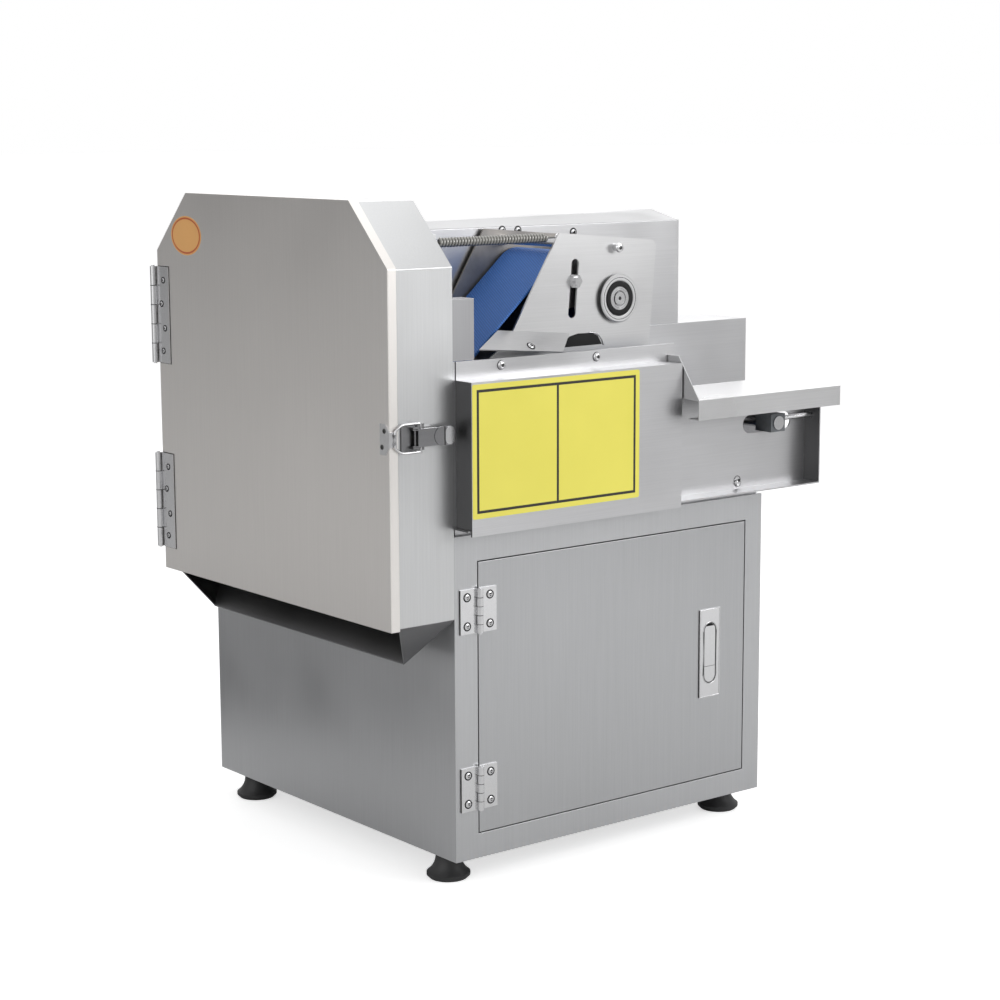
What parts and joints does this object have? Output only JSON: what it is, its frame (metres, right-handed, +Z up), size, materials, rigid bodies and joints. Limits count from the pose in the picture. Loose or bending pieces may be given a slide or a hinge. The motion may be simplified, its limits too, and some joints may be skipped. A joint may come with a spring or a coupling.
{
  "type": "vegetable slicing machine",
  "caption": "Belt-fed vegetable slicing machine: eight-sided cutting head, feed belt with sprung press belt, front tray and drive cabinet on rubber feet.",
  "frame": {"origin": "floor level, under the middle of the whole machine's bounding box", "axes": "+X from the cutting head towards the feed end, +Y from the front to the back, +Z up"},
  "size_m": [0.8025, 0.679, 0.916],
  "materials": {
    "stainless": "satin",
    "bright_steel": "polished",
    "bearing_seal": "satin",
    "foot_rubber": "matte",
    "belt_blue": "matte",
    "drive_rubber": "matte",
    "cast_housing": "satin",
    "motor_paint": "satin",
    "blade_steel": "satin",
    "switch_grey": "satin",
    "button_green": "gloss",
    "button_red": "gloss",
    "gland_black": "matte"
  },
  "bodies": {
    "machine_frame": {"cabinet_body": "stainless", "bed_plate": "stainless", "foot_rubbers": "foot_rubber", "foot_studs": "bright_steel", "fixed_hinge_leaves": "bright_steel", "hinge_pins": "bright_steel", "head_housing": "stainless", "discharge_chute": "stainless", "throat_frame": "stainless", "mouth_block": "stainless", "latch_base": "bright_steel", "feeder_front_plate": "stainless", "feeder_rear_plate": "stainless", "belt_bed": "stainless", "feed_belt": "belt_blue", "feed_bearings": "cast_housing", "feed_tray": "stainless", "guard_cover": "stainless", "feeder_screws": "bright_steel", "lower_drive_cover": "stainless", "upper_drive_cover": "stainless", "shaft_bearings": "cast_housing", "bearing_plates": "stainless", "feed_gearbox": "cast_housing", "drive_chains": "bearing_seal", "knife_belt": "drive_rubber", "knife_motor": "motor_paint", "motor_base": "stainless", "switch_box": "switch_grey", "cable_gland": "gland_black", "press_spring": "bearing_seal"},
    "press_frame": {"press_front_plate": "stainless", "press_rear_plate": "stainless", "press_cross_bars": "bright_steel", "press_bearings": "bearing_seal", "press_belt": "belt_blue"},
    "press_drive": {"press_drive_roller": "stainless"},
    "press_top": {"press_top_roller": "stainless"},
    "press_nip": {"press_nip_roller": "stainless"},
    "head_door": {"head_door": "stainless", "head_door_fittings": "bright_steel"},
    "latch_lever": {"latch_lever": "bright_steel"},
    "latch_bail": {"latch_bail": "bright_steel"},
    "cabinet_door": {"cabinet_door": "stainless", "door_hinge_leaves": "bright_steel", "lock_plate": "bright_steel"},
    "lock_handle": {"lock_handle": "bright_steel"},
    "lock_button": {"lock_button": "bright_steel"},
    "lock_tongue": {"lock_tongue": "bright_steel"},
    "knife": {"knife_shaft": "blade_steel", "knife_hub": "blade_steel", "knife_blades": "blade_steel", "knife_pulley": "cast_housing"},
    "motor_pulley": {"motor_pulley": "cast_housing"},
    "feed_output": {"feed_output_shaft": "stainless"},
    "press_output": {"press_output_shaft": "stainless"},
    "feed_drive": {"feed_drive_roller": "stainless"},
    "feed_tail": {"feed_tail_roller": "stainless"},
    "start_button": {"start_button": "button_green"},
    "stop_button": {"stop_button": "button_red"}
  },
  "joints": [
    {"name": "head_door_hinge", "type": "hinge", "parent": "machine_frame", "child": "head_door", "pos_m": [-0.39675, 0.299, 0], "axis": [0, 0, -1], "range_deg": [0, 180]},
    {"name": "latch_lever_hinge", "type": "hinge", "parent": "machine_frame", "child": "latch_lever", "pos_m": [-0.35475, -0.2805, 0.617], "axis": [0, 0, -1], "range_deg": [0, 150]},
    {"name": "latch_bail_hinge", "type": "hinge", "parent": "latch_lever", "child": "latch_bail", "pos_m": [-0.34575, -0.2805, 0.617], "axis": [0, 0, -1], "range_deg": [-150, 0]},
    {"name": "cabinet_door_hinge", "type": "hinge", "parent": "machine_frame", "child": "cabinet_door", "pos_m": [-0.25035, -0.278, 0], "axis": [0, 0, -1], "range_deg": [0, 165]},
    {"name": "lock_handle_hinge", "type": "hinge", "parent": "cabinet_door", "child": "lock_handle", "pos_m": [0.16975, -0.273, 0.2935], "axis": [-1, 0, 0], "range_deg": [0, 40]},
    {"name": "lock_button_slide", "type": "slide", "parent": "cabinet_door", "child": "lock_button", "axis": [0, 1, 0], "range_m": [0, 0.003], "stiffness_N_per_m": 300},
    {"name": "lock_tongue_slide", "type": "slide", "parent": "cabinet_door", "child": "lock_tongue", "axis": [1, 0, 0], "range_m": [0, 0.008]},
    {"name": "knife_spin", "type": "hinge", "parent": "machine_frame", "child": "knife", "pos_m": [-0.28875, 0.009, 0.64], "axis": [1, 0, 0], "continuous": true},
    {"name": "motor_spin", "type": "hinge", "parent": "machine_frame", "child": "motor_pulley", "pos_m": [-0.28875, 0.009, 0.2], "axis": [1, 0, 0], "continuous": true},
    {"name": "feed_output_spin", "type": "hinge", "parent": "machine_frame", "child": "feed_output", "pos_m": [-0.02075, -0.2735, 0.59], "axis": [0, 1, 0], "continuous": true},
    {"name": "press_output_spin", "type": "hinge", "parent": "machine_frame", "child": "press_output", "pos_m": [-0.00375, -0.2735, 0.664], "axis": [0, 1, 0], "continuous": true},
    {"name": "feed_drive_spin", "type": "hinge", "parent": "machine_frame", "child": "feed_drive", "pos_m": [-0.24675, -0.2735, 0.583], "axis": [0, 1, 0], "continuous": true},
    {"name": "feed_tail_spin", "type": "hinge", "parent": "machine_frame", "child": "feed_tail", "pos_m": [0.28625, -0.2735, 0.583], "axis": [0, 1, 0], "continuous": true},
    {"name": "press_tilt", "type": "hinge", "parent": "machine_frame", "child": "press_frame", "pos_m": [0.01885, -0.2735, 0.7736], "axis": [0, 1, 0], "range_deg": [0, 5], "stiffness_Nm_per_rad": 60, "springref_deg": -17.19, "deforming": ["press_spring"]},
    {"name": "press_drive_spin", "type": "hinge", "parent": "press_frame", "child": "press_drive", "pos_m": [0.01885, -0.2735, 0.7736], "axis": [0, 1, 0], "continuous": true},
    {"name": "press_top_spin", "type": "hinge", "parent": "press_frame", "child": "press_top", "pos_m": [-0.05741, -0.2735, 0.80035], "axis": [0, 1, 0], "continuous": true},
    {"name": "press_nip_spin", "type": "hinge", "parent": "press_frame", "child": "press_nip", "pos_m": [-0.23873, -0.2735, 0.65771], "axis": [0, 1, 0], "continuous": true},
    {"name": "start_button_slide", "type": "slide", "parent": "machine_frame", "child": "start_button", "axis": [-1, 0, 0], "range_m": [0, 0.004], "stiffness_N_per_m": 400},
    {"name": "stop_button_slide", "type": "slide", "parent": "machine_frame", "child": "stop_button", "axis": [-1, 0, 0], "range_m": [0, 0.004], "stiffness_N_per_m": 400}
  ],
  "couplings": [
    {"joint": "latch_bail_hinge", "follows": "latch_lever_hinge", "ratio": -1},
    {"joint": "motor_spin", "follows": "knife_spin", "ratio": 1.8421},
    {"joint": "feed_output_spin", "follows": "knife_spin", "ratio": -0.05},
    {"joint": "press_output_spin", "follows": "knife_spin", "ratio": 0.05},
    {"joint": "feed_drive_spin", "follows": "knife_spin", "ratio": -0.05},
    {"joint": "feed_tail_spin", "follows": "knife_spin", "ratio": -0.05},
    {"joint": "press_drive_spin", "follows": "knife_spin", "ratio": 0.056061},
    {"joint": "press_top_spin", "follows": "knife_spin", "ratio": 0.045792},
    {"joint": "press_nip_spin", "follows": "knife_spin", "ratio": 0.066071}
  ]
}
